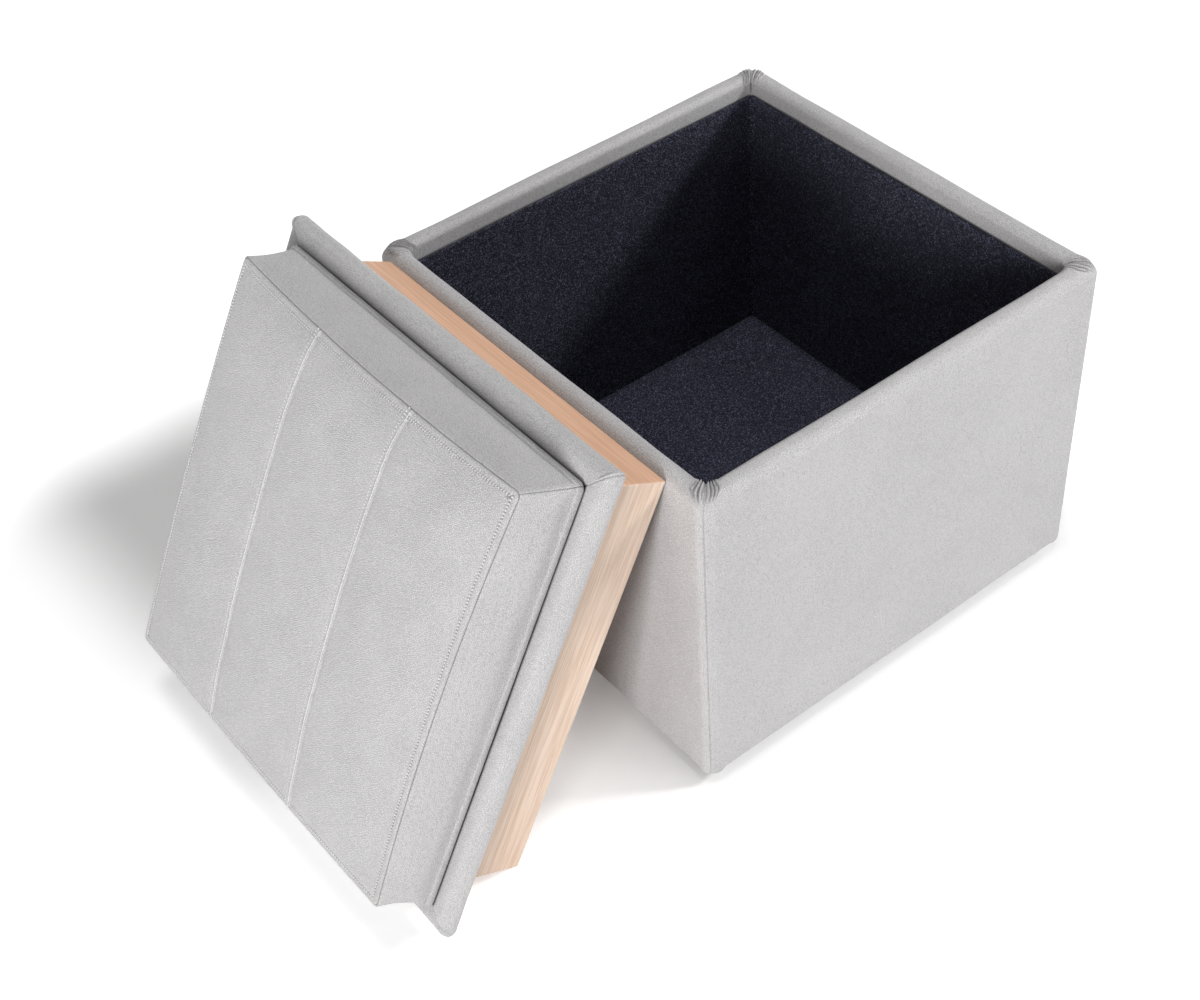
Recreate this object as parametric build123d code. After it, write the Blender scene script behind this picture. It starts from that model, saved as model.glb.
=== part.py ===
from build123d import *
import os
from math import cos, hypot, radians, sin, sqrt

# Driving dimensions, in millimetres. The box is measured over its leather cover.
BOX_WIDTH = 500.0
BOX_DEPTH = 500.0
BOX_HEIGHT = 366.0
BOX_CORNER_RADIUS = 14.0
BASE_EDGE_RADIUS = 6.0
RIM_EDGE_RADIUS = 10.5
OPENING_CORNER_RADIUS = 6.0

# Layers of the box wall, from outside to inside.
LEATHER = 1.2
SIDE_FOAM = 6.0
PANEL = 15.0
LINING = 2.8

# Box cover, lining and floor.
LEATHER_BAND = 22.0
BAND_TUCK = 15.0
UNDER_TUCK = 20.0
FLOOR_HEIGHT = 41.0
FLOOR_LINING = 3.0
FLOOR_BOARD = 12.0
FLOOR_FIT = 0.4
CLEAT = 18.0
CORNER_BLOCK = 45.0
DUST_COVER = 0.6
DUST_COVER_INSET = 9.0
GLIDE_HEIGHT = 13.4
GLIDE_RADIUS = 16.0
GLIDE_EDGE = 2.5

# Lid: flange, cushion and tray. It sits on the rim, and its tray drops into the lined opening.
LID_SETBACK = 5.0
FLANGE_THICKNESS = 23.0
FLANGE_CORNER_RADIUS = 12.0
FLANGE_EDGE_RADIUS = 10.5
FLANGE_BOARD = 12.0
FLANGE_EDGE_FOAM = 10.0
FLANGE_TUCK = 18.0
CUSHION_INSET = 23.0
CUSHION_TAPER = 7.0
CUSHION_HEIGHT = 62.0
CUSHION_CROWN = 12.0
CUSHION_CORNER_RADIUS = 14.0
CUSHION_DRAW_IN = 4.0
CUSHION_ROLL = 9.0
CUSHION_ROLL_INSET = 4.0
CUSHION_BOARD = 9.0
CUSHION_BOARD_INSET = 8.0
CUSHION_TUCK = 18.0
CHANNEL_RADIUS = 3.0
CHANNEL_DEPTH = 0.7
TRAY_CLEARANCE = 12.0
TRAY_HEIGHT = 84.0
RAIL = 18.0
RAIL_EASE = 2.0
TRAY_RECESS = 30.0
TRAY_PANEL = 9.0
TRAY_GROOVE = 6.0
GROOVE_END_GAP = 0.5

# The lid's place: taken off and leaning on the left side of the box.
LEAN_ANGLE = 28.0
LEAN_GAP = 0.4
LEAN_OFFSET = 12.0

# Fasteners.
SCREW_RADIUS = 2.0
SCREW_HEAD_RADIUS = 4.0
SCREW_HEAD_HEIGHT = 2.6
CARCASS_SCREW_LENGTH = 45.0
CARCASS_SCREW_END = 45.0
CARCASS_SCREW_ROWS = 3
GLIDE_SCREW_LENGTH = 24.0
GLIDE_SCREW_RECESS = 6.0
GLIDE_SCREW_WELL_RADIUS = 5.0
RAIL_SCREW_BITE = 22.0
RAIL_SCREW_OFFSET = 120.0
CUSHION_SCREW_BITE = 7.0
CUSHION_SCREW_OFFSET = 110.0
STAPLE_CROWN = 10.0
STAPLE_WIRE = 0.6
STAPLE_LEG = 6.0
STAPLES_PER_SIDE = 6
STAPLE_END = 50.0

# Heights above the floor, and sizes that follow from the layers.
BOTTOM_Z = GLIDE_HEIGHT + DUST_COVER
RIM_Z = BOTTOM_Z + BOX_HEIGHT
FLOOR_Z = BOTTOM_Z + FLOOR_HEIGHT
BOARD_TOP_Z = FLOOR_Z - FLOOR_LINING
BOARD_LOW_Z = BOARD_TOP_Z - FLOOR_BOARD
LINING_TOP_Z = RIM_Z - LEATHER_BAND
TAIL_Z = LINING_TOP_Z - BAND_TUCK
PANEL_LOW_Z = BOTTOM_Z + LEATHER
PANEL_TOP_Z = RIM_Z - RIM_EDGE_RADIUS
WALL = LEATHER + SIDE_FOAM + PANEL
SKIN = LEATHER + SIDE_FOAM
OPENING_WIDTH = BOX_WIDTH - 2 * WALL
OPENING_DEPTH = BOX_DEPTH - 2 * WALL
LID_LENGTH = BOX_WIDTH - 2 * LID_SETBACK
LID_WIDTH = BOX_DEPTH - 2 * LID_SETBACK
TRAY_INSET = WALL + LINING + TRAY_CLEARANCE - LID_SETBACK
MARGIN = 5.0

TURN = {"front": 0, "right": 90, "back": 180, "left": 270}
LID_TURN = {"front": 0, "upper": 90, "back": 180, "lower": 270}

nodes = {}


def block(width, depth, low, high, radius=0.0):
    """An upright prism centred on Z between two heights, with rounded upright corners."""
    outline = RectangleRounded(width, depth, radius) if radius else Rectangle(width, depth)
    return Pos(0, 0, low) * extrude(outline, amount=high - low)


def side_frame(width, depth, turn):
    """Length of one side of a rectangle, and its distance from the centre."""
    return (width, depth / 2) if turn % 180 == 0 else (depth, width / 2)


def mitre(width, depth, reach, low, high, turn):
    """The space of one side of a rectangular ring, cut off at 45 degrees at both corners."""
    length, distance = side_frame(width, depth, turn)
    half = length / 2
    outline = Polyline(
        (-half - MARGIN, -distance - MARGIN),
        (half + MARGIN, -distance - MARGIN),
        (half - reach, -distance + reach),
        (-half + reach, -distance + reach),
        close=True,
    )
    prism = extrude(make_face(outline), amount=high - low)
    return Rot(0, 0, turn) * Pos(0, 0, low) * prism


def wood_screw(length):
    """A countersunk screw with its head's face at Z = 0, pointing down."""
    head = Pos(0, 0, -SCREW_HEAD_HEIGHT / 2) * Cone(SCREW_RADIUS, SCREW_HEAD_RADIUS, SCREW_HEAD_HEIGHT)
    point = 2 * SCREW_RADIUS
    shank_length = length - SCREW_HEAD_HEIGHT - point
    shank = Pos(0, 0, -SCREW_HEAD_HEIGHT - shank_length / 2) * Cylinder(SCREW_RADIUS, shank_length)
    tip = Pos(0, 0, -length + point / 2) * Cone(SCREW_RADIUS / 4, SCREW_RADIUS, point)
    return head + shank + tip


def spread(count, span):
    """Evenly spaced places along a span that is centred on zero."""
    return [span * (i / (count - 1) - 0.5) for i in range(count)]


# Box cover and padding: one upholstered ring, cut into a leather shell and foam.
def wall_ring(inset):
    """The upholstered wall as a ring with a rolled rim, all faces moved in by the inset."""
    outer = block(
        BOX_WIDTH - 2 * inset,
        BOX_DEPTH - 2 * inset,
        BOTTOM_Z + inset,
        RIM_Z - inset,
        BOX_CORNER_RADIUS - inset,
    )
    outer = fillet(outer.edges().group_by(Axis.Z)[0], BASE_EDGE_RADIUS - inset)
    opening = block(
        OPENING_WIDTH + 2 * inset,
        OPENING_DEPTH + 2 * inset,
        BOTTOM_Z - MARGIN,
        RIM_Z + MARGIN,
        OPENING_CORNER_RADIUS + inset,
    )
    ring = outer - opening
    return fillet(ring.edges().group_by(Axis.Z)[-1], RIM_EDGE_RADIUS - inset)


ring_outer = wall_ring(0)
ring_core = wall_ring(LEATHER)
tail_cut = block(BOX_WIDTH - 2 * UNDER_TUCK, BOX_DEPTH - 2 * UNDER_TUCK, BOTTOM_Z - MARGIN, TAIL_Z)
cover_shell = ring_outer - ring_core - tail_cut
carcass_envelope = block(BOX_WIDTH - 2 * SKIN, BOX_DEPTH - 2 * SKIN, BOTTOM_Z - MARGIN, PANEL_TOP_Z)
foam_shell = ring_core - carcass_envelope
WALL_REACH = WALL + 2 * MARGIN

rim_strips = []
for side, turn in TURN.items():
    low_part = mitre(BOX_WIDTH, BOX_DEPTH, WALL_REACH, BOTTOM_Z - MARGIN, PANEL_TOP_Z, turn)
    high_part = mitre(BOX_WIDTH, BOX_DEPTH, WALL_REACH, PANEL_TOP_Z, RIM_Z + MARGIN, turn)
    nodes["cover_" + side] = cover_shell & (low_part + high_part)
    nodes["side_padding_" + side] = foam_shell & low_part
    rim_strips.append(foam_shell & high_part)
nodes["rim_padding"] = rim_strips

# Carcass: front and back panels run through, left and right panels stand between them.
tail_rebate = block(OPENING_WIDTH + 2 * LEATHER, OPENING_DEPTH + 2 * LEATHER, TAIL_Z, RIM_Z)
panel_height = PANEL_TOP_Z - PANEL_LOW_Z
panel_middle = (PANEL_TOP_Z + PANEL_LOW_Z) / 2
panel_x = OPENING_WIDTH / 2 + PANEL / 2
panel_y = OPENING_DEPTH / 2 + PANEL / 2
for side, sign in (("front", -1), ("back", 1)):
    panel = Pos(0, sign * panel_y, panel_middle) * Box(BOX_WIDTH - 2 * SKIN, PANEL, panel_height)
    nodes["panel_" + side] = panel - tail_rebate
for side, sign in (("left", -1), ("right", 1)):
    panel = Pos(sign * panel_x, 0, panel_middle) * Box(PANEL, OPENING_DEPTH, panel_height)
    nodes["panel_" + side] = panel - tail_rebate

# Storage floor: corner blocks and cleats carry a board, and the lining lies on it.
block_x = OPENING_WIDTH / 2 - CORNER_BLOCK / 2
block_y = OPENING_DEPTH / 2 - CORNER_BLOCK / 2
block_height = BOARD_LOW_Z - BOTTOM_Z
corners = [(sx * block_x, sy * block_y) for sy in (-1, 1) for sx in (-1, 1)]
corner_names = ["front_left", "front_right", "back_left", "back_right"]
corner_block = Box(CORNER_BLOCK, CORNER_BLOCK, block_height)
corner_blocks = [Pos(x, y, BOTTOM_Z + block_height / 2) * corner_block for x, y in corners]
cleats = []
for turn in TURN.values():
    length, distance = side_frame(OPENING_WIDTH, OPENING_DEPTH, turn)
    cleat = Box(length - 2 * CORNER_BLOCK, CLEAT, CLEAT)
    cleats.append(Rot(0, 0, turn) * Pos(0, -distance + CLEAT / 2, BOARD_LOW_Z - CLEAT / 2) * cleat)
nodes["floor_cleats"] = cleats
nodes["floor_board"] = block(
    OPENING_WIDTH - 2 * FLOOR_FIT, OPENING_DEPTH - 2 * FLOOR_FIT, BOARD_LOW_Z, BOARD_TOP_Z
)

# Felt lining: four wall boards that stand on the floor board, and a floor lining between them.
lining_envelope = block(OPENING_WIDTH, OPENING_DEPTH, BOARD_TOP_Z, LINING_TOP_Z, OPENING_CORNER_RADIUS)
lining_height = LINING_TOP_Z - BOARD_TOP_Z
lining_middle = (LINING_TOP_Z + BOARD_TOP_Z) / 2
clear_width = OPENING_WIDTH - 2 * LINING
clear_depth = OPENING_DEPTH - 2 * LINING
for side, sign in (("front", -1), ("back", 1)):
    place = Pos(0, sign * (OPENING_DEPTH - LINING) / 2, lining_middle)
    nodes["lining_" + side] = place * Box(OPENING_WIDTH, LINING, lining_height) & lining_envelope
for side, sign in (("left", -1), ("right", 1)):
    place = Pos(sign * (OPENING_WIDTH - LINING) / 2, 0, lining_middle)
    nodes["lining_" + side] = place * Box(LINING, clear_depth, lining_height) & lining_envelope
nodes["lining_floor"] = block(
    clear_width - 2 * FLOOR_FIT, clear_depth - 2 * FLOOR_FIT, BOARD_TOP_Z, FLOOR_Z
)

# Underside: dust cover, its staples, and a glide screwed to each corner block.
dust_cover = block(
    BOX_WIDTH - 2 * DUST_COVER_INSET, BOX_DEPTH - 2 * DUST_COVER_INSET, GLIDE_HEIGHT, BOTTOM_Z
)
staple = Pos(0, 0, -STAPLE_WIRE / 2) * Box(STAPLE_CROWN, STAPLE_WIRE, STAPLE_WIRE)
for sign in (-1, 1):
    leg_x = sign * (STAPLE_CROWN - STAPLE_WIRE) / 2
    staple += Pos(leg_x, 0, STAPLE_LEG / 2) * Box(STAPLE_WIRE, STAPLE_WIRE, STAPLE_LEG)
staples = []
for turn in TURN.values():
    length, distance = side_frame(BOX_WIDTH, BOX_DEPTH, turn)
    for along in spread(STAPLES_PER_SIDE, length - 2 * STAPLE_END):
        place = Rot(0, 0, turn) * Pos(along, -distance + SKIN + PANEL / 2, GLIDE_HEIGHT)
        staples.append(place * staple)
nodes["dust_cover_staples"] = staples
for side in TURN:
    nodes["panel_" + side] -= staples
    nodes["cover_" + side] -= staples

glide_screws = []
glide_well = Pos(0, 0, GLIDE_SCREW_RECESS / 2) * Cylinder(GLIDE_SCREW_WELL_RADIUS, GLIDE_SCREW_RECESS)
glide_body = Pos(0, 0, GLIDE_HEIGHT / 2) * Cylinder(GLIDE_RADIUS, GLIDE_HEIGHT)
glide_body = fillet(glide_body.edges().group_by(Axis.Z)[0], GLIDE_EDGE) - glide_well
for name, (x, y) in zip(corner_names, corners):
    screw = Pos(x, y, GLIDE_SCREW_RECESS) * Rot(180, 0, 0) * wood_screw(GLIDE_SCREW_LENGTH)
    glide_screws.append(screw)
    nodes["glide_" + name] = Pos(x, y, 0) * glide_body - screw
nodes["glide_screws"] = glide_screws
nodes["corner_blocks"] = [piece - glide_screws for piece in corner_blocks]
nodes["dust_cover"] = dust_cover - staples - glide_screws

# Carcass screws: through the front and back panels into the ends of the side panels.
carcass_screws = []
screw_rows = spread(CARCASS_SCREW_ROWS, panel_height - 2 * CARCASS_SCREW_END)
for sign, turn in ((-1, -90), (1, 90)):
    for x in (-panel_x, panel_x):
        for z in screw_rows:
            face = Pos(x, sign * (BOX_DEPTH / 2 - SKIN), panel_middle + z)
            carcass_screws.append(face * Rot(-turn, 0, 0) * wood_screw(CARCASS_SCREW_LENGTH))
nodes["carcass_screws"] = carcass_screws
for side in TURN:
    nodes["panel_" + side] -= carcass_screws

box_nodes = list(nodes)

# Lid, modelled flat with the underside of its flange at Z = 0 and its upper edge towards +X.
FLANGE_TOP = FLANGE_THICKNESS
RAIL_LENGTH = LID_LENGTH - 2 * TRAY_INSET
RAIL_WIDTH = LID_WIDTH - 2 * TRAY_INSET
flange_board_low = (FLANGE_THICKNESS - FLANGE_BOARD) / 2
flange_board_top = flange_board_low + FLANGE_BOARD


def flange_form(inset):
    """The padded flange: a rounded slab with a rolled edge, all faces moved in by the inset."""
    slab = block(
        LID_LENGTH - 2 * inset,
        LID_WIDTH - 2 * inset,
        inset,
        FLANGE_TOP - inset,
        FLANGE_CORNER_RADIUS - inset,
    )
    rolled = slab.edges().group_by(Axis.Z)[0] + slab.edges().group_by(Axis.Z)[-1]
    return fillet(rolled, FLANGE_EDGE_RADIUS - inset)


flange_reach = max(CUSHION_INSET, TRAY_INSET) + FLANGE_TUCK
flange_core = flange_form(LEATHER)
flange_middle = block(
    LID_LENGTH - 2 * flange_reach, LID_WIDTH - 2 * flange_reach, -MARGIN, FLANGE_TOP + MARGIN
)
flange_shell = flange_form(0) - flange_core - flange_middle
board_inset = LEATHER + FLANGE_EDGE_FOAM
flange_board = block(
    LID_LENGTH - 2 * board_inset, LID_WIDTH - 2 * board_inset, flange_board_low, flange_board_top
)
upper_half = block(LID_LENGTH, LID_WIDTH, FLANGE_TOP / 2, FLANGE_TOP)
flange_padding_top = (flange_core & upper_half) - flange_board
flange_padding_under = (flange_core - upper_half) - flange_board
for side, turn in LID_TURN.items():
    strip = mitre(LID_LENGTH, LID_WIDTH, flange_reach + MARGIN, -MARGIN, FLANGE_TOP + MARGIN, turn)
    nodes["flange_cover_" + side] = flange_shell & strip

# Cushion: lofted sides that are drawn in between the corners, under a crowned top.
SEAM_Z = FLANGE_TOP + CUSHION_HEIGHT
CUSHION_TOP_Z = SEAM_Z + CUSHION_CROWN
CUSHION_LENGTH = LID_LENGTH - 2 * CUSHION_INSET
CUSHION_WIDTH = LID_WIDTH - 2 * CUSHION_INSET
SEAM_LENGTH = CUSHION_LENGTH - 2 * CUSHION_TAPER
SEAM_WIDTH = CUSHION_WIDTH - 2 * CUSHION_TAPER
half_diagonal = hypot(SEAM_LENGTH, SEAM_WIDTH) / 2
CROWN_RADIUS = (half_diagonal**2 + CUSHION_CROWN**2) / (2 * CUSHION_CROWN)


def drawn_in_outline(length, width, radius, draw_in, z):
    """A rectangle with round corners whose four sides are arcs, drawn in at their middles."""
    x, y = length / 2, width / 2
    slant = radius * (1 - sqrt(0.5))
    edges = []
    for sx, sy, along_x in ((1, 1, False), (-1, 1, True), (-1, -1, False), (1, -1, True)):
        beside_x = (sx * x, sy * (y - radius))
        beside_y = (sx * (x - radius), sy * y)
        diagonal = (sx * (x - slant), sy * (y - slant))
        start, end = (beside_y, beside_x) if along_x else (beside_x, beside_y)
        edges.append(ThreePointArc(start, diagonal, end))
        if along_x:
            edges.append(ThreePointArc(end, (sx * (x - draw_in), 0), (end[0], -end[1])))
        else:
            edges.append(ThreePointArc(end, (0, sy * (y - draw_in)), (-end[0], end[1])))
    return Pos(0, 0, z) * make_face(edges)


def cushion_sides(inset):
    """The cushion's sides as one loft, reaching past the crown, moved in by the inset."""
    overshoot = CUSHION_TOP_Z + MARGIN
    rise = (overshoot - FLANGE_TOP - CUSHION_ROLL) / (SEAM_Z - FLANGE_TOP - CUSHION_ROLL)
    stages = (
        (FLANGE_TOP + inset, CUSHION_ROLL_INSET, CUSHION_DRAW_IN / 4),
        (FLANGE_TOP + CUSHION_ROLL, 0.0, CUSHION_DRAW_IN / 2),
        (SEAM_Z, CUSHION_TAPER, CUSHION_DRAW_IN),
        (overshoot, CUSHION_TAPER * rise, CUSHION_DRAW_IN),
    )
    sections = []
    for z, narrow, draw_in in stages:
        less = 2 * (narrow + inset)
        sections.append(
            drawn_in_outline(
                CUSHION_LENGTH - less, CUSHION_WIDTH - less, CUSHION_CORNER_RADIUS - inset, draw_in, z
            )
        )
    return loft(sections)


def crown(inset):
    """A ball whose top is the cushion's crown."""
    return Pos(0, 0, CUSHION_TOP_Z - CROWN_RADIUS) * Sphere(CROWN_RADIUS - inset)


cushion_outer = cushion_sides(0) & crown(0)
under_skin = cushion_outer & crown(LEATHER)
cushion_inside = cushion_sides(LEATHER) & crown(LEATHER)
top_sheet = cushion_outer - under_skin
tuck_length = CUSHION_LENGTH - 2 * (CUSHION_ROLL_INSET + CUSHION_TUCK)
tuck_width = CUSHION_WIDTH - 2 * (CUSHION_ROLL_INSET + CUSHION_TUCK)
tuck_cut = block(tuck_length, tuck_width, FLANGE_TOP - MARGIN, FLANGE_TOP + LEATHER)
band_shell = under_skin - cushion_inside - tuck_cut

# Two sewn channels run across the top and part it into three panels.
SEAM_Y = SEAM_WIDTH / 6
ring_radius = sqrt(CROWN_RADIUS**2 - SEAM_Y**2) + CHANNEL_RADIUS - CHANNEL_DEPTH
for sign in (-1, 1):
    place = Pos(0, sign * SEAM_Y, CUSHION_TOP_Z - CROWN_RADIUS)
    top_sheet -= place * Rot(90, 0, 0) * Torus(ring_radius, CHANNEL_RADIUS)
panel_span = SEAM_WIDTH / 3
panel_middles = {"front": -panel_span, "middle": 0.0, "back": panel_span}
outer_span = panel_span + 2 * CUSHION_TAPER + 2 * MARGIN
for name, middle in panel_middles.items():
    span = panel_span if name == "middle" else outer_span
    shift = middle + (0 if name == "middle" else (outer_span - panel_span) / 2 * middle / panel_span)
    slab = Pos(0, shift, SEAM_Z) * Box(LID_LENGTH, span, CUSHION_HEIGHT)
    nodes["cushion_top_" + name] = top_sheet & slab
for side, turn in LID_TURN.items():
    reach = CUSHION_TAPER + CUSHION_TUCK + CUSHION_ROLL_INSET + 2 * MARGIN
    corner = mitre(CUSHION_LENGTH, CUSHION_WIDTH, reach, FLANGE_TOP - MARGIN, CUSHION_TOP_Z, turn)
    nodes["cushion_band_" + side] = band_shell & corner

board_less = 2 * (CUSHION_BOARD_INSET + LEATHER)
cushion_board = block(
    CUSHION_LENGTH - board_less,
    CUSHION_WIDTH - board_less,
    FLANGE_TOP + LEATHER,
    FLANGE_TOP + LEATHER + CUSHION_BOARD,
    CUSHION_CORNER_RADIUS / 2,
)
nodes["cushion_foam"] = cushion_inside - cushion_board

# Tray: four mitred rails with eased edges, grooved for a panel.
rails = block(RAIL_LENGTH, RAIL_WIDTH, -TRAY_HEIGHT, 0)
rails = fillet(rails.edges().filter_by(Axis.Z), RAIL_EASE)
rails -= block(RAIL_LENGTH - 2 * RAIL, RAIL_WIDTH - 2 * RAIL, -TRAY_HEIGHT - MARGIN, MARGIN)
rails = fillet(rails.edges().group_by(Axis.Z)[0], RAIL_EASE)
panel_low = -TRAY_HEIGHT + TRAY_RECESS
groove_less = 2 * (RAIL - TRAY_GROOVE)
rails -= block(RAIL_LENGTH - groove_less, RAIL_WIDTH - groove_less, panel_low, panel_low + TRAY_PANEL)
panel_less = groove_less + 2 * GROOVE_END_GAP
nodes["tray_panel"] = block(
    RAIL_LENGTH - panel_less, RAIL_WIDTH - panel_less, panel_low, panel_low + TRAY_PANEL
)

# Screws that hold the rails and the cushion to the flange board.
rail_screws = []
rail_screw_length = flange_board_top + RAIL_SCREW_BITE
for turn in LID_TURN.values():
    distance = side_frame(RAIL_LENGTH, RAIL_WIDTH, turn)[1]
    for along in (-RAIL_SCREW_OFFSET, RAIL_SCREW_OFFSET):
        place = Rot(0, 0, turn) * Pos(along, -distance + RAIL / 2, flange_board_top)
        rail_screws.append(place * wood_screw(rail_screw_length))
cushion_screws = []
cushion_screw_length = FLANGE_TOP + LEATHER - flange_board_low + CUSHION_SCREW_BITE
for x in (-CUSHION_SCREW_OFFSET, CUSHION_SCREW_OFFSET):
    for y in (-CUSHION_SCREW_OFFSET, CUSHION_SCREW_OFFSET):
        cushion_screws.append(Pos(x, y, flange_board_low) * Rot(180, 0, 0) * wood_screw(cushion_screw_length))
lid_screws = rail_screws + cushion_screws
nodes["rail_screws"] = rail_screws
nodes["cushion_screws"] = cushion_screws
nodes["flange_board"] = flange_board - lid_screws
nodes["flange_padding_top"] = flange_padding_top - lid_screws
nodes["flange_padding_under"] = flange_padding_under - lid_screws
nodes["cushion_board"] = cushion_board - cushion_screws
for side, turn in LID_TURN.items():
    nodes["flange_cover_" + side] -= rail_screws
    corner = mitre(RAIL_LENGTH, RAIL_WIDTH, RAIL + MARGIN, -TRAY_HEIGHT - MARGIN, MARGIN, turn)
    nodes["tray_rail_" + side] = (rails & corner) - rail_screws

# The leaning lid stands on its tray's lower edge, or its flange, and its tray meets the rim.
lean = radians(LEAN_ANGLE)
edge_along = RAIL_LENGTH / 2 - RAIL_EASE
edge_under = TRAY_HEIGHT - RAIL_EASE
tray_stand = RAIL_EASE + cos(lean) * edge_along + sin(lean) * edge_under
flange_along = LID_LENGTH / 2 - FLANGE_EDGE_RADIUS
flange_stand = FLANGE_EDGE_RADIUS + cos(lean) * flange_along - sin(lean) * FLANGE_EDGE_RADIUS
lid_z = max(tray_stand, flange_stand)
edge_z = lid_z + cos(lean) * edge_along - sin(lean) * edge_under
rim_x = -BOX_WIDTH / 2 + RIM_EDGE_RADIUS
rise = edge_z - (RIM_Z - RIM_EDGE_RADIUS)
reach = RIM_EDGE_RADIUS + RAIL_EASE + LEAN_GAP
if rise <= 0:
    run = reach
elif rise < reach * sin(lean):
    run = sqrt(reach**2 - rise**2)
else:
    run = (reach - rise * sin(lean)) / cos(lean)
lid_x = rim_x - run - sin(lean) * edge_along - cos(lean) * edge_under
lid_place = Pos(lid_x, LEAN_OFFSET, lid_z) * Rot(0, LEAN_ANGLE - 90, 0)


def as_list(piece):
    """A node's solids as a list."""
    return piece if isinstance(piece, list) else [piece]


# The origin is on the floor, under the middle of the whole object.
placed = {}
for name, piece in nodes.items():
    place = Pos(0, 0, 0) if name in box_nodes else lid_place
    placed[name] = Compound([place * solid for part in as_list(piece) for solid in part.solids()])
bounds = Compound(list(placed.values())).bounding_box()
centre = bounds.center()
home = Pos(-centre.X, -centre.Y, -bounds.min.Z)

os.makedirs("parts", exist_ok=True)
for name, piece in placed.items():
    export_step(home * piece, os.path.join("parts", name + ".step"))
print(len(placed), "nodes; box centre at", round(-centre.X, 3), round(-centre.Y, 3))
print("lid centre at", round(lid_x - centre.X, 3), round(LEAN_OFFSET - centre.Y, 3), round(lid_z, 3))
print("size", bounds.size)
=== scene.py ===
import math

import bpy
import numpy as np
from mathutils import Matrix, Vector
from mathutils.kdtree import KDTree


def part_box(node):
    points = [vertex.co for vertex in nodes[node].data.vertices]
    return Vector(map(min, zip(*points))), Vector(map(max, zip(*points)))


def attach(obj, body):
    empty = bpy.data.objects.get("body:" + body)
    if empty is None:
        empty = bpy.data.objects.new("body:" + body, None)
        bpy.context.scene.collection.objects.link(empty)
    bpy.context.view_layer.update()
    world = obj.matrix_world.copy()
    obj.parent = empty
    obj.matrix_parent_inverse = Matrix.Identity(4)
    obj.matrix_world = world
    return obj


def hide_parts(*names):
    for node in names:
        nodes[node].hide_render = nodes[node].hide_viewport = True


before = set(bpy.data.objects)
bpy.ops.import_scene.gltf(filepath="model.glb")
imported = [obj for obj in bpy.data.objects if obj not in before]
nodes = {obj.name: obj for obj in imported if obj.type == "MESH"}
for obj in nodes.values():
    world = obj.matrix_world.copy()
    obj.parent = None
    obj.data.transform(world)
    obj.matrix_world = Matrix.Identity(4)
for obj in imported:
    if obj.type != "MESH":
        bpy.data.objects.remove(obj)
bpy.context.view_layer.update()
scene = bpy.context.scene

MM = 0.001
SIDES = ("front", "right", "back", "left")
LID_SIDES = ("front", "upper", "back", "lower")
CORNERS = ("front_left", "front_right", "back_left", "back_right")


def names(stem, ends):
    """Node names with a shared beginning."""
    return [stem + "_" + end for end in ends]


def span(*members):
    """Lowest and highest corner of several CAD nodes together."""
    boxes = [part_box(member) for member in members]
    return np.min([b[0] for b in boxes], axis=0), np.max([b[1] for b in boxes], axis=0)


# Sizes of the box, read from the frame.
COVER_LOW, COVER_HIGH = span(*names("cover", SIDES))
BOX_CENTRE = (COVER_LOW + COVER_HIGH) / 2
BOX_HALF = (COVER_HIGH - COVER_LOW)[:2] / 2
BASE_Z, RIM_Z = COVER_LOW[2], COVER_HIGH[2]
PANEL_HIGH = span(*names("panel", SIDES))[1]
PADDING = COVER_HIGH[0] - PANEL_HIGH[0]
LINING_LOW, LINING_HIGH = span(*names("lining", SIDES))
LINING_HALF = (LINING_HIGH - LINING_LOW)[:2] / 2
WALL = BOX_HALF[0] - LINING_HALF[0]
FLOOR_LOW, FLOOR_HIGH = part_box("lining_floor")
DUST_LOW, DUST_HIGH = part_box("dust_cover")

# Sizes of the lid, which leans with its upper edge towards the box.
LEAN = math.radians(28)
LID_UP = np.array((math.sin(LEAN), 0.0, math.cos(LEAN)))
LID_ACROSS = np.array((0.0, 1.0, 0.0))
LID_OUT = np.cross(LID_UP, LID_ACROSS)
LID_TURN = np.column_stack((LID_UP, LID_ACROSS, LID_OUT))


def lid_extent(*members):
    """Lowest and highest corner of CAD nodes in the lid's own directions."""
    spread = [np.array([v.co for v in nodes[m].data.vertices]) @ LID_TURN for m in members]
    spread = np.concatenate(spread)
    return spread.min(axis=0), spread.max(axis=0)


FLANGE_LOW, FLANGE_HIGH = lid_extent(*names("flange_cover", LID_SIDES))
LID_MIDDLE = (FLANGE_LOW + FLANGE_HIGH) / 2
LID_ORIGIN = LID_TURN @ np.array((LID_MIDDLE[0], LID_MIDDLE[1], FLANGE_LOW[2]))
LID_HALF = (FLANGE_HIGH - FLANGE_LOW)[:2] / 2
FLANGE_TOP = FLANGE_HIGH[2] - FLANGE_LOW[2]
BOARD_LOW, BOARD_HIGH = lid_extent("flange_board")
FLANGE_PADDING = (FLANGE_HIGH - BOARD_HIGH)[0]
BAND_LOW, BAND_HIGH = lid_extent(*names("cushion_band", LID_SIDES))
CUSHION_HALF = (BAND_HIGH - BAND_LOW)[:2] / 2
TOP_PANELS = names("cushion_top", ("front", "middle", "back"))
TOP_LOW, TOP_HIGH = lid_extent(*TOP_PANELS)
SEAM_HALF = (TOP_HIGH - TOP_LOW)[:2] / 2
CROWN_Z = TOP_HIGH[2] - FLANGE_LOW[2]
MIDDLE_LOW, MIDDLE_HIGH = lid_extent("cushion_top_middle")
CHANNEL_Y = (MIDDLE_HIGH - MIDDLE_LOW)[1] / 2


def on_lid(points):
    """Points of the flat lid, moved to where it leans."""
    return np.asarray(points) @ LID_TURN.T + LID_ORIGIN


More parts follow.
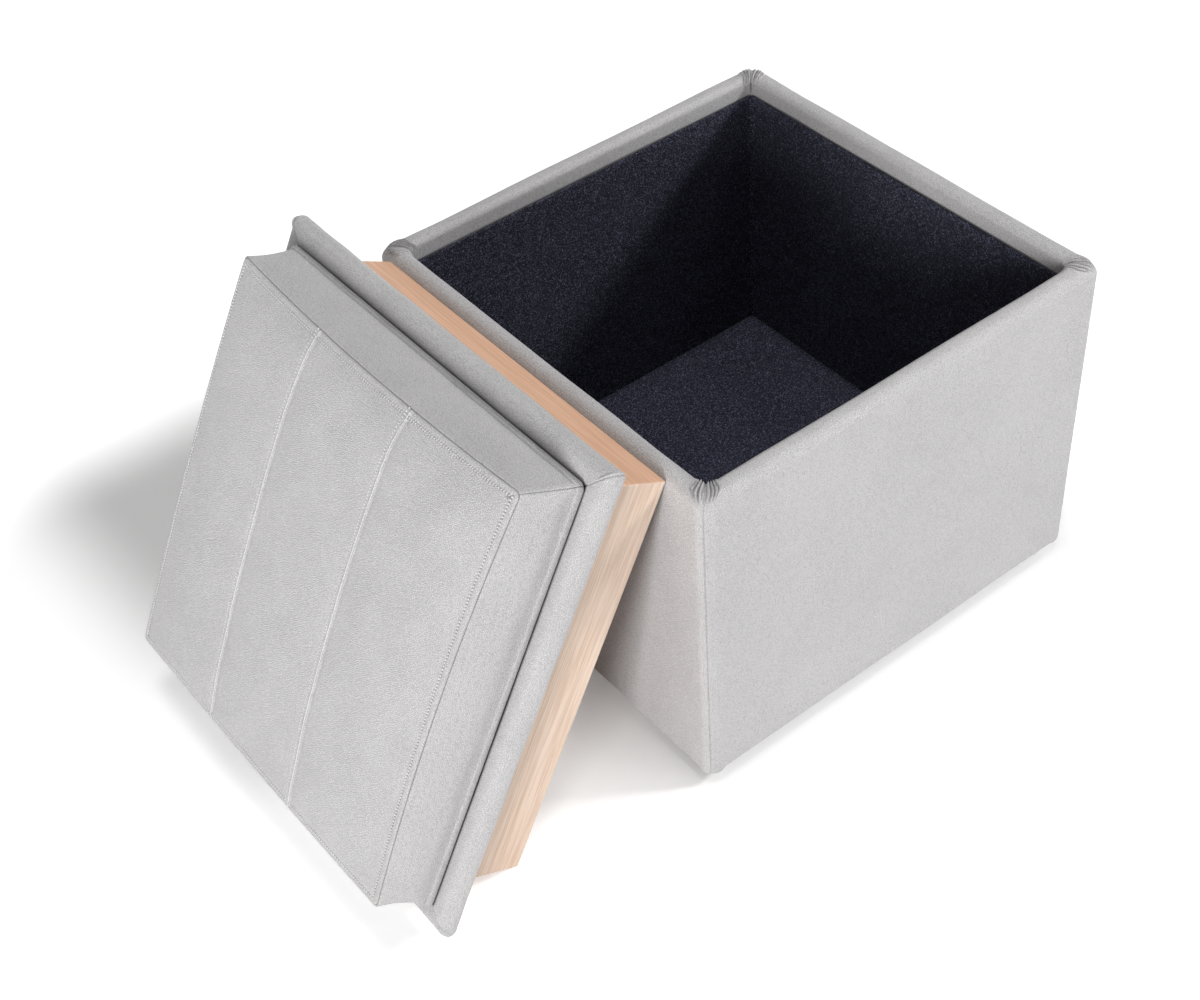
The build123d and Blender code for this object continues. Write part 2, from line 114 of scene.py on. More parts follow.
# Node trees.
def put(tree, kind, inputs=None, **settings):
    """Adds a node, whose inputs are values or the sockets that feed them."""
    made = tree.nodes.new(kind)
    for key, value in settings.items():
        setattr(made, key, value)
    for key, value in (inputs or {}).items():
        if isinstance(value, bpy.types.NodeSocket):
            tree.links.new(value, made.inputs[key])
        else:
            made.inputs[key].default_value = value
    return made


def maths(tree, operation, first, second=0.0):
    """One step of arithmetic with two values."""
    return put(tree, "ShaderNodeMath", {0: first, 1: second}, operation=operation).outputs[0]


def times(tree, first, second):
    """The product of two values."""
    return maths(tree, "MULTIPLY", first, second)


def plus(tree, first, second):
    """The sum of two values."""
    return maths(tree, "ADD", first, second)


def ramp(tree, value, low, high, start=0.0, end=1.0):
    """A value eased from one range to another."""
    ranges = {"Value": value, "From Min": low, "From Max": high, "To Min": start, "To Max": end}
    return put(tree, "ShaderNodeMapRange", ranges, interpolation_type="SMOOTHSTEP").outputs[0]


def between(tree, share, first, second):
    """A colour between two colours."""
    return put(tree, "ShaderNodeMix", {0: share, 6: first, 7: second}, data_type="RGBA").outputs[2]


def noise(tree, place, scale, detail=2.0, roughness=0.5):
    """A soft cloudy value."""
    inputs = {"Vector": place, "Scale": scale, "Detail": detail, "Roughness": roughness}
    return put(tree, "ShaderNodeTexNoise", inputs).outputs["Fac"]


def vectors(tree, operation, first, second):
    """One step of arithmetic with two vectors."""
    return put(tree, "ShaderNodeVectorMath", {0: first, 1: second}, operation=operation)


def swayed(tree, place, scale, detail, reach):
    """A place pushed about by soft noise, as far as this reach."""
    drift = put(tree, "ShaderNodeTexNoise", {"Vector": place, "Scale": scale, "Detail": detail})
    push = vectors(tree, "MULTIPLY", drift.outputs["Color"], reach)
    return vectors(tree, "ADD", place, push.outputs[0]).outputs[0]


def darker(colour, share):
    """A colour at a share of its light."""
    return tuple(share * part for part in colour[:3]) + (1.0,)


def new_material(name):
    """A material with its tree, its surface shader and the object's coordinates."""
    material = bpy.data.materials.new(name)
    material.use_nodes = True
    tree = material.node_tree
    place = put(tree, "ShaderNodeTexCoord").outputs["Object"]
    return material, tree, tree.nodes["Principled BSDF"], place


def feed(tree, shader, **sockets):
    """Links values to a shader's inputs, named with underscores for spaces."""
    for key, value in sockets.items():
        tree.links.new(value, shader.inputs[key.replace("_", " ")])


def fix(shader, **values):
    """Sets a shader's constant inputs, named in the same way."""
    for key, value in values.items():
        shader.inputs[key.replace("_", " ")].default_value = value


def relief(tree, shader, height, depth, strength):
    """Gives a surface its fine relief, the depth in metres."""
    bump = put(tree, "ShaderNodeBump", {"Height": height, "Distance": depth, "Strength": strength})
    feed(tree, shader, Normal=bump.outputs[0])


# Leather and its stitches. Scales of a pattern are in features per metre.
PEBBLES, PORES, PEBBLE_DRIFT, PEBBLE_PATCHES, LEATHER_CLOUDS = 640.0, 1500.0, 120.0, 26.0, 9.0
PEBBLE_SWAY, PEBBLE_DEPTH, PUCKER_REACH = 1.0 * MM, 0.45 * MM, 3.6 * MM
SEAM_AND_SHADE_DARK, HOLE_SHADE, CREST_HIGHLIGHT = (0.03, 0.029, 0.028, 1), (0.2, 0.2, 0.2, 1), (0.95, 0.95, 0.95, 1)
STITCH_PITCH, STITCH_LENGTH, THREAD_RADIUS = 3.2 * MM, 2.0 * MM, 0.6 * MM
EDGE_STITCH, LAP_STITCH = 6.5 * MM, 4.2 * MM


def pebbled_leather(name, pale, deep, sewn=False):
    """Grey corrected leather with a fine pebble, puckered where it is sewn, dull and dark in its seams;
    painted shade darkens its crevices, pores, creases, gaps and stitch holes, and a painted highlight
    lightens its lapped seam crests.
    """
    material, tree, surface, place = new_material(name)
    pushed = swayed(tree, place, PEBBLE_DRIFT, 1.0, (PEBBLE_SWAY,) * 3)
    cells = {"Vector": pushed, "Scale": PEBBLES, "Randomness": 0.95}
    pebble = put(tree, "ShaderNodeTexVoronoi", cells, feature="DISTANCE_TO_EDGE").outputs["Distance"]
    patch = ramp(tree, noise(tree, place, PEBBLE_PATCHES, 1.0), 0.35, 0.65, 0.8, 1.0)
    fine = ramp(tree, pebble, 0.0, 0.24)
    tooth = noise(tree, place, PORES, 2.0)
    height = plus(tree, times(tree, fine, patch), times(tree, tooth, 0.7))
    cloud = ramp(tree, noise(tree, place, LEATHER_CLOUDS, 2.0, 0.6), 0.3, 0.7)
    colour = between(tree, cloud, deep, pale)
    # Painted shade darkens the pebbles' crevices and the pores, standing in for the shade of the grain's
    # relief.
    crevice_shade = times(tree, maths(tree, "SUBTRACT", 1.0, fine), 0.85)
    crevice_shade = plus(tree, crevice_shade, ramp(tree, tooth, 0.3, 0.7, 0.35, 0.0))
    colour = between(tree, crevice_shade, colour, darker(deep, 0.6))
    # The seam attribute holds dark seam lines and painted shade in creases, folds and gaps; both darken the
    # colour and make it duller.
    seam = put(tree, "ShaderNodeAttribute", attribute_name="seam").outputs["Fac"]
    if sewn:
        edge, lap, travel, along = (put(tree, "ShaderNodeAttribute", attribute_name=field).outputs["Fac"]
                                    for field in ("edge", "lap", "travel", "along"))
        dots = maths(tree, "COSINE", times(tree, along, 2 * math.pi / STITCH_PITCH))
        # Painted highlight along the crest of each channel's lapped ridge, brighter at each stitch.
        fold = ramp(tree, maths(tree, "ABSOLUTE", lap), 0.2 * MM, 0.8 * MM, 1.0, 0.0)
        crest = times(tree, fold, ramp(tree, dots, -1.0, 1.0, 0.4, 1.0))
        colour = between(tree, crest, colour, CREST_HIGHLIGHT)
        wave = maths(tree, "COSINE", times(tree, travel, 2 * math.pi))
        aside = maths(tree, "ABSOLUTE", maths(tree, "SUBTRACT", edge, EDGE_STITCH))
        tug = times(tree, wave, ramp(tree, aside, 0.0, PUCKER_REACH, 1.0, 0.0))
        height = plus(tree, height, times(tree, tug, 1.1))
        # Painted shade in the stitch holes between the stitches of each row.
        beside = ramp(tree, aside, 0.3 * MM, 1.1 * MM, 0.8, 0.0)
        hole_shade = times(tree, ramp(tree, wave, -0.2, -0.9), beside)
        colour = between(tree, hole_shade, colour, HOLE_SHADE)
    rough = ramp(tree, tooth, 0.25, 0.75, 0.42, 0.56)
    feed(tree, surface, Base_Color=between(tree, seam, colour, SEAM_AND_SHADE_DARK),
         Roughness=plus(tree, rough, times(tree, seam, 0.3)))
    fix(surface, Specular_IOR_Level=0.42)
    relief(tree, surface, height, PEBBLE_DEPTH, 0.85)
    return material


NAP, FIBRES, FELT_CLOUDS, NAP_DEPTH = 420.0, 1250.0, 9.0, 1.2 * MM
FELT_SHEEN = (0.42, 0.45, 0.62, 1)


def felt(name, pale, deep):
    """Needled felt: a dark nap with paler fibres that catch the light."""
    material, tree, surface, place = new_material(name)
    mat = noise(tree, place, NAP, 4.0, 0.7)
    cells = put(tree, "ShaderNodeTexVoronoi", {"Vector": place, "Scale": FIBRES, "Randomness": 1.0})
    speck = put(tree, "ShaderNodeSeparateColor", {"Color": cells.outputs["Color"]}).outputs[0]
    fibre = times(tree, ramp(tree, speck, 0.55, 1.0), ramp(tree, mat, 0.3, 0.75))
    cloud = noise(tree, place, FELT_CLOUDS, 3.0)
    share = plus(tree, times(tree, fibre, 0.75), times(tree, cloud, 0.05))
    feed(tree, surface, Base_Color=between(tree, share, deep, pale),
         Roughness=ramp(tree, mat, 0.2, 0.8, 0.86, 1.0))
    fix(surface, Sheen_Weight=0.06, Sheen_Roughness=0.55, Sheen_Tint=FELT_SHEEN, Specular_IOR_Level=0.15)
    relief(tree, surface, plus(tree, mat, times(tree, speck, 0.5)), NAP_DEPTH, 0.8)
    return material


GRAIN_BENDS, PORE_FLECKS, GRAIN_DEPTH = 22.0, 720.0, 0.2 * MM
GRAIN_SWAY, FLECK_STRETCH = (0.0, 12 * MM, 12 * MM), (0.16, 1.0, 1.0)
BEECH_RINGS, PLY_RINGS, PLY_STRETCH, PLY_SATIN = 560.0, 90.0, 0.08, 0.6


def timber(name, pale, deep, turn, rings, stretch=0.022, satin=0.42):
    """Straight-grained timber, whose grain runs along X once the place is turned."""
    material, tree, surface, place = new_material(name)
    level = put(tree, "ShaderNodeMapping", {"Vector": place, "Rotation": turn}).outputs[0]
    drawn = put(tree, "ShaderNodeMapping", {"Vector": level, "Scale": (stretch, 1.0, 1.0)}).outputs[0]
    pushed = swayed(tree, drawn, GRAIN_BENDS, 2.0, GRAIN_SWAY)
    line = noise(tree, pushed, rings, 5.0, 0.62)
    broad = noise(tree, pushed, rings / 6, 2.0)
    dash = put(tree, "ShaderNodeMapping", {"Vector": level, "Scale": FLECK_STRETCH}).outputs[0]
    cells = {"Vector": dash, "Scale": PORE_FLECKS, "Randomness": 1.0}
    fleck = put(tree, "ShaderNodeTexVoronoi", cells).outputs["Distance"]
    pore = ramp(tree, fleck, 0.06, 0.2, 1.0, 0.0)
    fine, wide = ramp(tree, line, 0.36, 0.66, 0.0, 0.75), ramp(tree, broad, 0.35, 0.65, 0.0, 0.25)
    colour = between(tree, plus(tree, fine, wide), pale, deep)
    colour = between(tree, times(tree, pore, 0.22), colour, darker(deep, 0.5))
    feed(tree, surface, Base_Color=colour, Roughness=ramp(tree, line, 0.2, 0.8, satin, satin + 0.14))
    fix(surface, Specular_IOR_Level=0.35)
    relief(tree, surface, maths(tree, "SUBTRACT", line, pore), GRAIN_DEPTH, 0.5)
    return material


def woven_cloth(name, thread, gap, threads_per_metre):
    """A thin plain weave."""
    material, tree, surface, place = new_material(name)
    parts = put(tree, "ShaderNodeSeparateXYZ", {"Vector": place})
    turns = threads_per_metre * math.pi
    warp = maths(tree, "SINE", times(tree, parts.outputs["X"], turns))
    weft = maths(tree, "SINE", times(tree, parts.outputs["Y"], turns))
    weave = ramp(tree, times(tree, warp, weft), -1.0, 1.0)
    lint = noise(tree, place, 600.0, 3.0)
    feed(tree, surface, Base_Color=between(tree, times(tree, weave, lint), gap, thread),
         Roughness=ramp(tree, lint, 0.2, 0.8, 0.85, 1.0))
    relief(tree, surface, weave, 0.3 * MM, 0.8)
    return material


def moulded_plastic(name, pale, deep):
    """Spark-eroded black plastic."""
    material, tree, surface, place = new_material(name)
    grain = noise(tree, place, 1800.0, 3.0)
    cloud = noise(tree, place, 60.0, 3.0)
    feed(tree, surface, Base_Color=between(tree, cloud, deep, pale),
         Roughness=ramp(tree, grain, 0.2, 0.8, 0.42, 0.62))
    relief(tree, surface, grain, 0.1 * MM, 0.5)
    return material


def plated_steel(name, pale, deep):
    """Bright plated wire and screws, a little scratched."""
    material, tree, surface, place = new_material(name)
    drawn = put(tree, "ShaderNodeMapping", {"Vector": place, "Scale": (1.0, 1.0, 0.1)}).outputs[0]
    scratch = noise(tree, drawn, 2400.0, 4.0, 0.65)
    feed(tree, surface, Base_Color=between(tree, scratch, deep, pale),
         Roughness=ramp(tree, scratch, 0.25, 0.75, 0.24, 0.42))
    fix(surface, Metallic=1.0)
    relief(tree, surface, scratch, 0.05 * MM, 0.4)
    return material


def spun_thread(name, pale, deep):
    """Twisted sewing thread."""
    material, tree, surface, place = new_material(name)
    twist = noise(tree, place, 3200.0, 2.0)
    feed(tree, surface, Base_Color=between(tree, twist, deep, pale),
         Roughness=ramp(tree, twist, 0.2, 0.8, 0.5, 0.75))
    relief(tree, surface, twist, 0.1 * MM, 0.6)
    return material


LID_LEVEL = Matrix(LID_TURN.T.tolist()).to_euler()
ACROSS_LEVEL = (Matrix.Rotation(math.radians(-90), 3, "Z") @ Matrix(LID_TURN.T.tolist())).to_euler()
LEATHER_GREYS = (0.765, 0.751, 0.758, 1), (0.746, 0.732, 0.739, 1)
GREY_LEATHER = pebbled_leather("grey_leather", *LEATHER_GREYS)
SEWN_LEATHER = pebbled_leather("grey_leather_sewn", *LEATHER_GREYS, sewn=True)
NAVY_FELT = felt("navy_felt", (0.36, 0.37, 0.54, 1), (0.003, 0.003, 0.006, 1))
# The box floor's felt is a paler copy of the wall felt: painted light, standing in for the light that falls
# on the floor.
NAVY_FELT_LIT_FLOOR = felt("navy_felt_floor_painted_light", (0.62, 0.63, 0.9, 1), (0.02, 0.02, 0.035, 1))
BEECH_UP = timber("beech_along_lean", (0.82, 0.66, 0.545, 1), (0.63, 0.45, 0.335, 1), LID_LEVEL, BEECH_RINGS)
# The across rails and the tray panel take a darker, warmer copy of the beech: painted shade.
BEECH_ACROSS_SHADED = timber("beech_across_painted_shade", (0.77, 0.475, 0.315, 1), (0.605, 0.35, 0.222, 1), ACROSS_LEVEL,
                      BEECH_RINGS)
PLY_BROWNS = (0.62, 0.47, 0.31, 1), (0.42, 0.28, 0.16, 1)
PLY_UPRIGHT = timber("plywood_upright", *PLY_BROWNS, (0, 0, 0), PLY_RINGS, PLY_STRETCH, PLY_SATIN)
PLY_LEANING = timber("plywood_leaning", *PLY_BROWNS, LID_LEVEL, PLY_RINGS, PLY_STRETCH, PLY_SATIN)
DUST_CLOTH = woven_cloth("black_dust_cloth", (0.03, 0.03, 0.032, 1), (0.006, 0.006, 0.006, 1), 900.0)
BLACK_PLASTIC = moulded_plastic("black_plastic", (0.03, 0.03, 0.031, 1), (0.016, 0.016, 0.016, 1))
STEEL = plated_steel("plated_steel", (0.72, 0.72, 0.7, 1), (0.5, 0.5, 0.49, 1))
THREAD = spun_thread("grey_thread", (0.88, 0.88, 0.88, 1), (0.76, 0.76, 0.76, 1))

FINISHES = {
    PLY_UPRIGHT: names("panel", SIDES) + ["floor_board", "floor_cleats", "corner_blocks"],
    PLY_LEANING: ["flange_board", "cushion_board"],
    BEECH_UP: ["tray_rail_front", "tray_rail_back"],
    BEECH_ACROSS_SHADED: ["tray_rail_upper", "tray_rail_lower", "tray_panel"],
    BLACK_PLASTIC: names("glide", CORNERS),
    STEEL: ["carcass_screws", "glide_screws", "dust_cover_staples", "rail_screws", "cushion_screws"],
}
for finish, members in FINISHES.items():
    for member in members:
        nodes[member].data.materials.clear()
        nodes[member].data.materials.append(finish)


# Mesh helpers.
def bell(distance, width):
    """1 at no distance, fading over the width."""
    return np.exp(-np.square(distance / width))


def ease(value, start, end):
    """0 before the start, 1 after the end, smooth between."""
    share = np.clip((value - start) / (end - start), 0, 1)
    return share * share * (3 - 2 * share)


def waviness(points, length, seed, waves=7):
    """Smooth seeded unevenness of about this wavelength, mostly within 1."""
    chance = np.random.default_rng(seed)
    total = np.zeros(points.shape[:-1])
    for _ in range(waves):
        way = chance.normal(size=3)
        way *= 2 * math.pi * chance.uniform(0.6, 1.5) / (length * np.linalg.norm(way))
        total += np.sin(points @ way + chance.uniform(0, 2 * math.pi))
    return total / math.sqrt(waves)


# Soft unevenness of each piece: its wavelength in metres and its seed.
COVER_WAVES, FELT_WAVES, FELT_FLOOR_WAVES, DUST_WAVES = (0.16, 3), (0.09, 5), (0.11, 8), (0.2, 9)
FLANGE_WAVES, CUSHION_WAVES = (0.07, 21), (0.08, 31)


def evenly(start, end, step):
    """Evenly spaced values from start to end, the start left out."""
    count = max(1, round(abs(end - start) / step))
    return list(np.linspace(start, end, count + 1)[1:])


def bend(centre, wide, tall, start, end, steps):
    """Places on an arc of a section, in inset and height, the first left out."""
    turns = np.radians(np.linspace(start, end, steps + 1)[1:])
    return [(centre[0] + wide * math.cos(t), centre[1] + tall * math.sin(t)) for t in turns]


def close_columns(half, radius, close, step):
    """Columns anticlockwise round a rectangle with round corners, close together near the corners.
    Each has its turn, its share of the two half sizes, and its distance past the nearest corner's middle."""
    turn, share, past, corner = [], [], [], []
    quarter = radius * math.pi / 4
    for side in range(4):
        facing = side * math.pi / 2
        out = np.array((math.cos(facing), math.sin(facing)))
        way = np.array((-out[1], out[0]))
        reach = (half[1] if side % 2 == 0 else half[0]) - radius
        ends = [reach - c for c in close]
        middle = evenly(-ends[-1], ends[-1], step)[:-1]
        for u in [-e for e in ends] + middle + ends[::-1]:
            turn.append(facing)
            share.append(out + way * u / reach)
            past.append(quarter + reach + u if u < 0 else -(quarter + reach - u))
            corner.append((side - 1) % 4 if u < 0 else side)
        steps = max(4, round(2 * quarter / (0.6 * MM)))
        for part in np.linspace(0, 1, steps + 1)[1:-1]:
            turn.append(facing + part * math.pi / 2)
            share.append(out + way)
            past.append(quarter * (2 * part - 1))
            corner.append(side)
    return np.array(turn), np.array(share), np.array(past), np.array(corner)


def sweep(columns, half, section, rounding):
    """A grid of points: a section of insets and heights carried round the columns."""
    turn, share = columns[:2]
    rows = []
    for inset, height in section:
        radius = rounding(inset, height)
        x = share[:, 0] * (half[0] - inset - radius) + radius * np.cos(turn)
        y = share[:, 1] * (half[1] - inset - radius) + radius * np.sin(turn)
        rows.append(np.column_stack((x, y, np.full(len(turn), height))))
    return np.array(rows)


def ring_normals(grid):
    """Outward directions of a grid that is closed both ways."""
    rise = np.roll(grid, -1, 0) - np.roll(grid, 1, 0)
    along = np.roll(grid, -1, 1) - np.roll(grid, 1, 1)
    out = np.cross(along, rise)
    return out / np.maximum(np.linalg.norm(out, axis=2, keepdims=True), 1e-12)


def ring_faces(rows, columns):
    """Faces of a grid that is closed both ways."""
    at = np.arange(rows * columns).reshape(rows, columns)
    right, up = np.roll(at, -1, 1), np.roll(at, -1, 0)
    corner = np.roll(right, -1, 0)
    return np.stack((at, right, corner, up), axis=-1).reshape(-1, 4).tolist()


def grid_faces(at):
    """Faces of an open grid of point numbers."""
    corners = at[:-1, :-1], at[1:, :-1], at[1:, 1:], at[:-1, 1:]
    return np.stack(corners, axis=-1).reshape(-1, 4).tolist()


def run(section):
    """Distance along a section from its first point to each point."""
    steps = np.linalg.norm(np.diff(np.array(section), axis=0), axis=1)
    return np.concatenate(([0], np.cumsum(steps)))


def placed(name, data):
    """A new object in the scene."""
    made = bpy.data.objects.new(name, data)
    scene.collection.objects.link(made)
    return made


def make_piece(name, points, faces, material, body, seam=None):
    """A smooth mesh object in the frame, riding on a body."""
    mesh = bpy.data.meshes.new(name)
    mesh.from_pydata(np.asarray(points).reshape(-1, 3).tolist(), [], faces)
    mesh.update()
    mesh.shade_smooth()
    mesh.materials.append(material)
    # The seam attribute holds dark seam lines and painted shade in creases, folds and gaps.
    if seam is not None:
        mark = mesh.attributes.new("seam", "FLOAT", "POINT")
        mark.data.foreach_set("value", np.clip(seam, 0, 1).astype(np.float32).ravel())
    made = placed(name, mesh)
    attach(made, body)
    return made


# Box upholstery: leather over foam, sewn at the corners, rolled over the rim and tucked under.
CORNER_RADIUS, OPENING_RADIUS, MOUTH_CORNER = 14 * MM, 6 * MM, 12 * MM
BASE_ROLL, RIM_DROP, RIM_WIDE, MOUTH_ROLL = 6 * MM, 12 * MM, 12.5 * MM, 7.5 * MM
LEATHER, TUCK, BAND_TUCK = 1.2 * MM, 20 * MM, 15 * MM
PLEATS = np.array((3.0, 6.2, 9.5, 13.0)) * MM
PLEAT_WIDTH, PLEAT_HEIGHT, PLEAT_SHADE, PLEAT_SEED = 1.05 * MM, 2.3 * MM, 0.34, 11
PLEAT_SHARES = np.array((0.85, 1.0, 0.95, 0.6))
SEAM_DEPTH, SEAM_WIDTH = 0.7 * MM, 0.6 * MM
CORNER_DROOP, DROOP_REACH, DROOP_SHARES = 3.5 * MM, 17 * MM, np.array((0.7, 0.8, 1.0, 0.6))
COVER_STEP, COVER_COLUMNS = 9 * MM, np.append(np.arange(0.7, 13, 0.7), (13.8, 15, 17, 20, 25, 32)) * MM


def cover_rounding(inset, height):
    """Corner radius of the wall at an inset from its outside, opened out at the mouth."""
    opened = ease(height, LINING_HIGH[2], RIM_Z - MOUTH_ROLL)
    inner = OPENING_RADIUS + (MOUTH_CORNER - OPENING_RADIUS) * opened
    return CORNER_RADIUS + (inner - CORNER_RADIUS) * inset / WALL


def upholstered_box():
    """The box's padded leather cover as one closed ring."""
    shoulder, mouth = RIM_Z - RIM_DROP, RIM_Z - MOUTH_ROLL
    tail = LINING_HIGH[2] - BAND_TUCK
    section = [(TUCK, BASE_Z)] + [(n, BASE_Z) for n in evenly(TUCK, BASE_ROLL, 5 * MM)]
    section += bend((BASE_ROLL, BASE_Z + BASE_ROLL), BASE_ROLL, BASE_ROLL, -90, -180, 6)
    low_wall, high_wall = BASE_Z + 30 * MM, shoulder - 26 * MM
    section += [(0, z) for z in evenly(BASE_Z + BASE_ROLL, low_wall, 3 * MM)]
    section += [(0, z) for z in evenly(low_wall, high_wall, 9 * MM)]
    section += [(0, z) for z in evenly(high_wall, shoulder, 2.6 * MM)]
    section += bend((RIM_WIDE, shoulder), RIM_WIDE, RIM_DROP, 180, 90, 14)
    section += [(n, RIM_Z) for n in evenly(RIM_WIDE, WALL - MOUTH_ROLL, 1.3 * MM)]
    crest = len(section) - 1
    section += bend((WALL - MOUTH_ROLL, mouth), MOUTH_ROLL, MOUTH_ROLL, 90, 0, 9)
    felt_edge = LINING_HIGH[2]
    section += [(WALL, z) for z in evenly(mouth, felt_edge + 2.4 * MM, 2.2 * MM)]
    section += [(WALL, z) for z in evenly(felt_edge + 2.4 * MM, felt_edge - MM, 0.6 * MM)]
    section += [(WALL, z) for z in evenly(felt_edge - MM, tail, 4 * MM)]
    outside = len(section)
    inner = WALL - LEATHER
    section += [(inner, tail), (inner, PANEL_HIGH[2]), (PADDING, PANEL_HIGH[2])]
    section += [(PADDING, BASE_Z + LEATHER), (TUCK, BASE_Z + LEATHER)]

    columns = close_columns(BOX_HALF, CORNER_RADIUS, COVER_COLUMNS, COVER_STEP)
    past, corner = columns[2:]
    grid = sweep(columns, BOX_HALF, section, cover_rounding)
    out = ring_normals(grid)
    places = run(section)
    beyond = (places - places[crest])[:, None]
    leather = (np.arange(len(section)) < outside)[:, None]

    # Leather lies a little slack between the corners, and is gathered in pleats at each corner of the rim,
    # with painted shade in the valley beside each pleat.
    lift = -0.35 * MM * (1 + waviness(grid, *COVER_WAVES)) * ease(np.abs(past), 20 * MM, 70 * MM)
    dark = np.zeros(grid.shape[:2])
    gathered = (1 - ease(-beyond, 8 * MM, 15 * MM)) * (1 - ease(beyond, 5 * MM, 16 * MM))
    lean = 0.85 + 0.45 * bell(beyond + 6 * MM, 6 * MM)
    chance = np.random.default_rng(PLEAT_SEED)
    for which in range(4):
        near = corner == which
        for sign in (-1, 1):
            shares = PLEAT_SHARES * chance.uniform(0.8, 1.15, len(PLEATS))
            for place, share in zip(PLEATS * chance.uniform(0.95, 1.05, len(PLEATS)), shares):
                gap = (sign * past - place * lean) / PLEAT_WIDTH
                fold = bell(gap, 1.0) - 0.9 * bell(gap + 1.5, 0.8)
                lift += np.where(near, PLEAT_HEIGHT * share * gathered * fold, 0)
                dark += np.where(near, PLEAT_SHADE * share * gathered * bell(gap + 1.5, 0.5), 0)
    # Corner seams are drawn in and dark; a painted shadow line darkens the leather's edge just above the
    # felt.
    lift += 0.15 * MM * bell(np.abs(past) - 1.8 * MM, 1.0 * MM) - SEAM_DEPTH * bell(past, SEAM_WIDTH)
    dark += 0.32 * bell(past, 0.42 * MM) + 0.5 * bell(past, 1.1 * MM) * ease(beyond, 7 * MM, 11 * MM)
    dark += 0.9 * bell(grid[..., 2] - felt_edge - 0.4 * MM, 1.1 * MM) * (beyond > 0)
    grid += out * (lift * leather)[..., None]

    # Corners droop at the base.
    low = 1 - ease(grid[..., 2] - BASE_Z, 5 * MM, 30 * MM)
    droop = CORNER_DROOP * DROOP_SHARES[corner]
    grid[..., 2] -= low * droop * (1 - ease(np.abs(past), 0.6 * DROOP_REACH, DROOP_REACH)) * leather
    grid += (BOX_CENTRE[0], BOX_CENTRE[1], 0)
    faces = ring_faces(*grid.shape[:2])
    cover = make_piece("box_upholstery", grid, faces, GREY_LEATHER, "box", dark * leather)
    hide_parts(*names("cover", SIDES), *names("side_padding", SIDES), "rim_padding")


# Felt lining of the storage space.
FELT_EDGE, FELT_STEP = 1.1 * MM, 12 * MM
FELT_COLUMNS = np.array((2, 5, 9, 14, 20)) * MM
FELT_GAP, FELT_BACK, FELT_SAG = 0.12 * MM, 0.15 * MM, 0.5 * MM


def lined_walls():
    """Felt-faced wall lining as one ring with soft corners."""
    thick = LINING_HALF[0] - (FLOOR_HIGH[0] - FLOOR_LOW[0]) / 2 - FELT_GAP
    low, high = LINING_LOW[2] + 0.2 * MM, LINING_HIGH[2]
    section = [(thick, z) for z in [low] + evenly(low, low + 12 * MM, 3 * MM)]
    section += [(thick, z) for z in evenly(low + 12 * MM, high - FELT_EDGE, FELT_STEP)]
    section += bend((thick - FELT_EDGE, high - FELT_EDGE), FELT_EDGE, FELT_EDGE, 0, 90, 4)
    section += [(FELT_BACK, high), (FELT_BACK, low)]
    section = section[::-1]
    columns = close_columns(LINING_HALF, OPENING_RADIUS, FELT_COLUMNS, FELT_STEP)
    grid = sweep(columns, LINING_HALF, section, lambda inset, height: OPENING_RADIUS)
    out = ring_normals(grid)
    facing = np.array([inset > 2 * FELT_BACK for inset, _ in section])[:, None]
    soft = 0.35 * MM * (waviness(grid, *FELT_WAVES) - 1.0) * ease(high - grid[..., 2], 0, 20 * MM)
    soft *= ease(grid[..., 2] - FLOOR_HIGH[2], 2 * MM, 25 * MM)
    grid += out * (soft * facing)[..., None]
    grid += (BOX_CENTRE[0], BOX_CENTRE[1], 0)
    lining = make_piece("felt_wall_lining", grid, ring_faces(*grid.shape[:2]), NAVY_FELT, "box")
    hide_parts(*names("lining", SIDES))


def sheet_grid(low, high, step, height):
    """Points of a flat rectangular grid, and its faces."""
    xs = np.array([low[0]] + evenly(low[0], high[0], step))
    ys = np.array([low[1]] + evenly(low[1], high[1], step))
    x, y = np.meshgrid(xs, ys, indexing="ij")
    faces = grid_faces(np.arange(x.size).reshape(x.shape))
    return np.stack((x, y, np.full_like(x, height)), axis=-1), faces


def lined_floor():
    """Felt floor lining, a little uneven where it lies on its board."""
    grid, faces = sheet_grid(FLOOR_LOW, FLOOR_HIGH, FELT_STEP, FLOOR_HIGH[2])
    edge = np.minimum.reduce((grid[..., 0] - FLOOR_LOW[0], FLOOR_HIGH[0] - grid[..., 0],
                              grid[..., 1] - FLOOR_LOW[1], FLOOR_HIGH[1] - grid[..., 1]))
    uneven = (waviness(grid, *FELT_FLOOR_WAVES) - 1.2) * ease(edge, 0, 40 * MM)
    grid[..., 2] += FELT_SAG * (uneven - bell(edge, 4 * MM))
    floor = make_piece("felt_floor_lining", grid, faces, NAVY_FELT_LIT_FLOOR, "box")
    body = floor.modifiers.new("thickness", "SOLIDIFY")
    body.thickness = FLOOR_HIGH[2] - FLOOR_LOW[2] - 1.4 * MM
    body.offset = -1
    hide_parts("lining_floor")


def dust_sheet():
    """Black cloth stapled under the base, slack between its staples."""
    grid, faces = sheet_grid(DUST_LOW, DUST_HIGH, 12 * MM, DUST_LOW[2])
    x = (grid[..., 0] - BOX_CENTRE[0]) / BOX_HALF[0]
    y = (grid[..., 1] - BOX_CENTRE[1]) / BOX_HALF[1]
    belly = np.clip((1 - np.square(x / 0.9)) * (1 - np.square(y / 0.9)), 0, 1)
    grid[..., 2] -= belly * MM * (2.2 + 0.5 * waviness(grid, *DUST_WAVES))
    cloth = make_piece("dust_cloth", grid, faces, DUST_CLOTH, "box")
    body = cloth.modifiers.new("thickness", "SOLIDIFY")
    body.thickness = DUST_HIGH[2] - DUST_LOW[2]
    body.offset = 1
    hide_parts("dust_cover")


